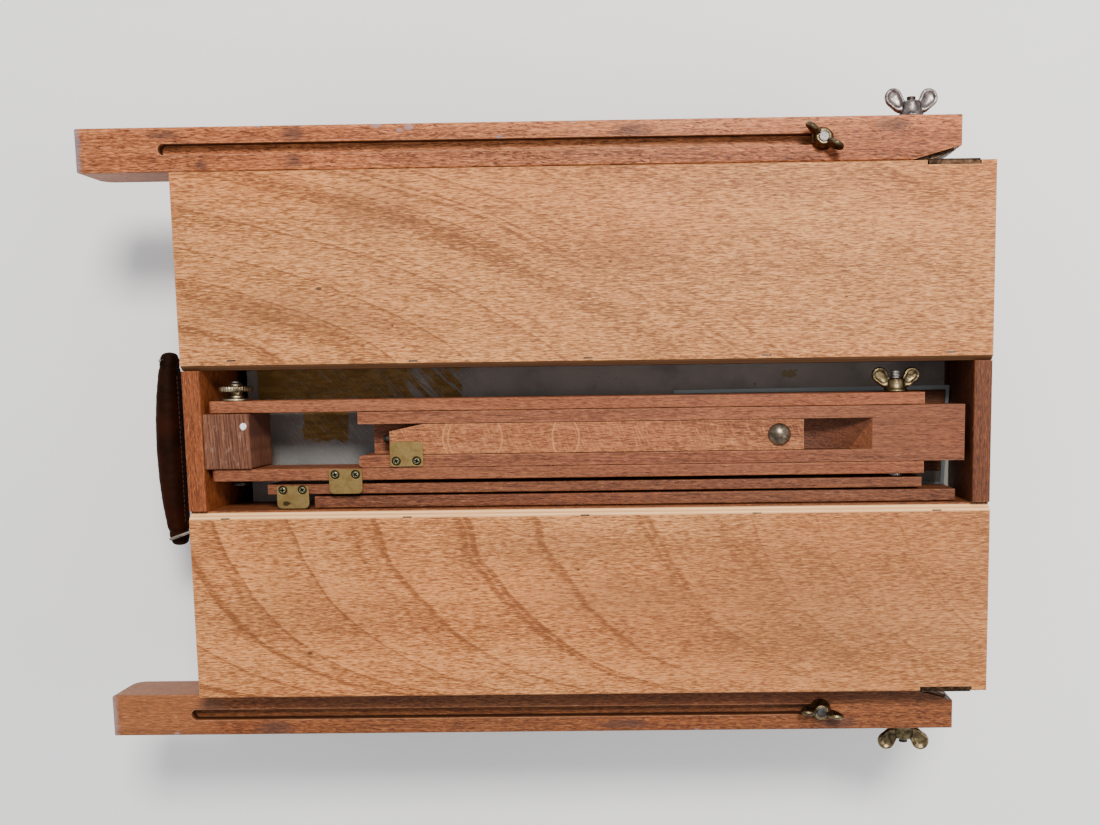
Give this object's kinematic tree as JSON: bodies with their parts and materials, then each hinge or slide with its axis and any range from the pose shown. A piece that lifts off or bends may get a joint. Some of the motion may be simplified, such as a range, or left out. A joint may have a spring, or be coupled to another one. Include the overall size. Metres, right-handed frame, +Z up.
{
  "type": "wooden artist easel",
  "caption": "Folding wooden sketch-box easel, closed on its lid, with telescopic legs along both sides, a folding rear leg in an underside channel, a drawer, a palette and a canvas mast.",
  "frame": {"origin": "centre of the bounding box at the floor, on the lid's outer face", "axes": "+X along the box to the drawer front, +Z up out of the box's underside, +Y across the box by the right-hand rule"},
  "size_m": [0.629, 0.4638, 0.165],
  "materials": {
    "plywood": "satin",
    "case_wood": "satin",
    "leg_wood": "satin",
    "rail_wood": "satin",
    "stick_wood": "satin",
    "palette_wood": "satin",
    "brass": "worn",
    "steel": "worn",
    "zinc": "dull",
    "leather": "worn"
  },
  "bodies": {
    "case": {"case_side_a": "case_wood", "case_side_b": "case_wood", "case_back_wall": "case_wood", "case_front_rail": "case_wood", "bottom_panel_a": "plywood", "bottom_panel_b": "plywood", "channel_walls": "case_wood", "leg_pivot_block": "leg_wood", "rear_pivot_bolt": "steel", "panel_staples": "steel", "drawer_runners": "case_wood", "hinge_leaves_fixed": "brass", "latch_pins": "brass", "swivel_seats": "brass", "handle_staples": "steel"},
    "handle": {"handle_rings": "steel", "handle_grip": "leather"},
    "drawer": {"drawer_front": "case_wood", "drawer_frame": "case_wood", "drawer_tray": "zinc", "drawer_knob": "brass"},
    "palette": {"palette": "palette_wood"},
    "lid": {"lid_frame": "case_wood", "lid_panel_a": "plywood", "lid_panel_b": "plywood", "hinge_leaves_lid": "brass"},
    "latch_a": {"latch_hook_a": "brass"},
    "latch_b": {"latch_hook_b": "brass"},
    "mast": {"mast_outer": "stick_wood", "canvas_ledge": "stick_wood"},
    "inner_mast": {"mast_inner": "stick_wood", "canvas_clamp": "stick_wood"},
    "rear_upper": {"rear_upper_rails": "rail_wood", "rear_fold_bolt": "steel", "upper_guide_plate": "brass"},
    "rear_middle": {"rear_middle_leg": "rail_wood", "middle_guide_plate": "brass"},
    "rear_lower": {"rear_lower_leg": "stick_wood", "rear_foot_tip": "steel", "rear_slide_bolt": "brass"},
    "rear_pivot_thumb_nut": {"rear_pivot_nut": "brass"},
    "rear_fold_wing_nut": {"rear_fold_nut": "brass"},
    "thin_rail_inner": {"stay_rail_inner": "rail_wood", "stay_guide_plate": "brass"},
    "thin_rail_outer": {"stay_rail_outer": "rail_wood"},
    "leg_a_swivel_disc": {"leg_a_swivel": "brass"},
    "leg_a": {"leg_a_upper": "leg_wood", "leg_a_leaf": "brass"},
    "leg_a_extension": {"leg_a_lower": "leg_wood", "leg_a_slide_bolt": "steel"},
    "leg_a_pivot_wing_nut": {"leg_a_pivot_nut": "brass"},
    "leg_a_slide_wing_nut": {"leg_a_slide_nut": "brass"},
    "leg_b_swivel_disc": {"leg_b_swivel": "brass"},
    "leg_b": {"leg_b_upper": "leg_wood", "leg_b_leaf": "brass"},
    "leg_b_extension": {"leg_b_lower": "leg_wood", "leg_b_slide_bolt": "steel"},
    "leg_b_pivot_wing_nut": {"leg_b_pivot_nut": "brass"},
    "leg_b_slide_wing_nut": {"leg_b_slide_nut": "brass"}
  },
  "joints": [
    {"name": "handle_swing", "type": "hinge", "parent": "case", "child": "handle", "pos_m": [-0.2478, -0.004, 0.082], "axis": [0, 1, 0], "range_deg": [-70, 60]},
    {"name": "drawer_slide", "type": "slide", "parent": "case", "child": "drawer", "axis": [1, 0, 0], "range_m": [0, 0.4]},
    {"name": "palette_slide", "type": "slide", "parent": "case", "child": "palette", "axis": [1, 0, 0], "range_m": [0, 0.42]},
    {"name": "lid_hinge", "type": "hinge", "parent": "case", "child": "lid", "pos_m": [-0.2462, 0, 0.0432], "axis": [0, 1, 0], "range_deg": [0, 100]},
    {"name": "latch_a_turn", "type": "hinge", "parent": "lid", "child": "latch_a", "pos_m": [0.227, 0.178, 0.024], "axis": [0, 1, 0], "range_deg": [0, 90]},
    {"name": "latch_b_turn", "type": "hinge", "parent": "lid", "child": "latch_b", "pos_m": [0.227, -0.178, 0.024], "axis": [0, 1, 0], "range_deg": [0, 90]},
    {"name": "mast_slide", "type": "slide", "parent": "lid", "child": "mast", "axis": [1, 0, 0], "range_m": [0, 0.38]},
    {"name": "inner_mast_slide", "type": "slide", "parent": "mast", "child": "inner_mast", "axis": [1, 0, 0], "range_m": [0, 0.36]},
    {"name": "leg_a_swing", "type": "hinge", "parent": "case", "child": "leg_a_swivel_disc", "pos_m": [0.27, 0.1762, 0.124], "axis": [0, 1, 0], "range_deg": [0, 105]},
    {"name": "leg_a_splay", "type": "hinge", "parent": "leg_a_swivel_disc", "child": "leg_a", "pos_m": [0.2575, 0.178, 0.124], "axis": [0, 0, -1], "range_deg": [0, 17]},
    {"name": "leg_a_pivot_nut_turn", "type": "hinge", "parent": "leg_a", "child": "leg_a_pivot_wing_nut", "pos_m": [0.25, 0.212, 0.124], "axis": [0, 1, 0], "continuous": true},
    {"name": "leg_a_extend", "type": "slide", "parent": "leg_a", "child": "leg_a_extension", "axis": [-1, 0, 0], "range_m": [0, 0.42]},
    {"name": "leg_a_slide_nut_turn", "type": "hinge", "parent": "leg_a_extension", "child": "leg_a_slide_wing_nut", "pos_m": [0.187, 0.19545, 0.146], "axis": [0, 0, 1], "continuous": true},
    {"name": "leg_b_swing", "type": "hinge", "parent": "case", "child": "leg_b_swivel_disc", "pos_m": [0.27, -0.1762, 0.124], "axis": [0, 1, 0], "range_deg": [0, 105]},
    {"name": "leg_b_splay", "type": "hinge", "parent": "leg_b_swivel_disc", "child": "leg_b", "pos_m": [0.2575, -0.178, 0.124], "axis": [0, 0, 1], "range_deg": [0, 17]},
    {"name": "leg_b_pivot_nut_turn", "type": "hinge", "parent": "leg_b", "child": "leg_b_pivot_wing_nut", "pos_m": [0.25, -0.212, 0.124], "axis": [0, 1, 0], "continuous": true},
    {"name": "leg_b_extend", "type": "slide", "parent": "leg_b", "child": "leg_b_extension", "axis": [-1, 0, 0], "range_m": [0, 0.42]},
    {"name": "leg_b_slide_nut_turn", "type": "hinge", "parent": "leg_b_extension", "child": "leg_b_slide_wing_nut", "pos_m": [0.187, -0.19545, 0.146], "axis": [0, 0, 1], "continuous": true},
    {"name": "rear_leg_swing", "type": "hinge", "parent": "case", "child": "rear_upper", "pos_m": [-0.2122, -0.0004, 0.15], "axis": [0, -1, 0], "range_deg": [0, 96]},
    {"name": "rear_leg_fold", "type": "hinge", "parent": "rear_upper", "child": "rear_middle", "pos_m": [0.236, -0.0004, 0.15], "axis": [0, 1, 0], "range_deg": [0, 180]},
    {"name": "rear_leg_extend", "type": "slide", "parent": "rear_middle", "child": "rear_lower", "axis": [-1, 0, 0], "range_m": [0, 0.2332]},
    {"name": "rear_pivot_nut_turn", "type": "hinge", "parent": "case", "child": "rear_pivot_thumb_nut", "pos_m": [-0.2122, 0.032, 0.15], "axis": [0, 1, 0], "continuous": true},
    {"name": "rear_fold_nut_turn", "type": "hinge", "parent": "rear_upper", "child": "rear_fold_wing_nut", "pos_m": [0.236, 0.032, 0.15], "axis": [0, 1, 0], "continuous": true},
    {"name": "thin_rail_inner_slide", "type": "slide", "parent": "case", "child": "thin_rail_inner", "axis": [1, 0, 0], "range_m": [-0.014, 0.012]},
    {"name": "thin_rail_outer_slide", "type": "slide", "parent": "case", "child": "thin_rail_outer", "axis": [1, 0, 0], "range_m": [-0.05, 0.006]}
  ],
  "couplings": [
    {"joint": "rear_leg_fold", "follows": "rear_leg_swing", "ratio": 1.875},
    {"joint": "rear_leg_extend", "follows": "rear_leg_swing", "m_per_rad": 0.13888}
  ]
}
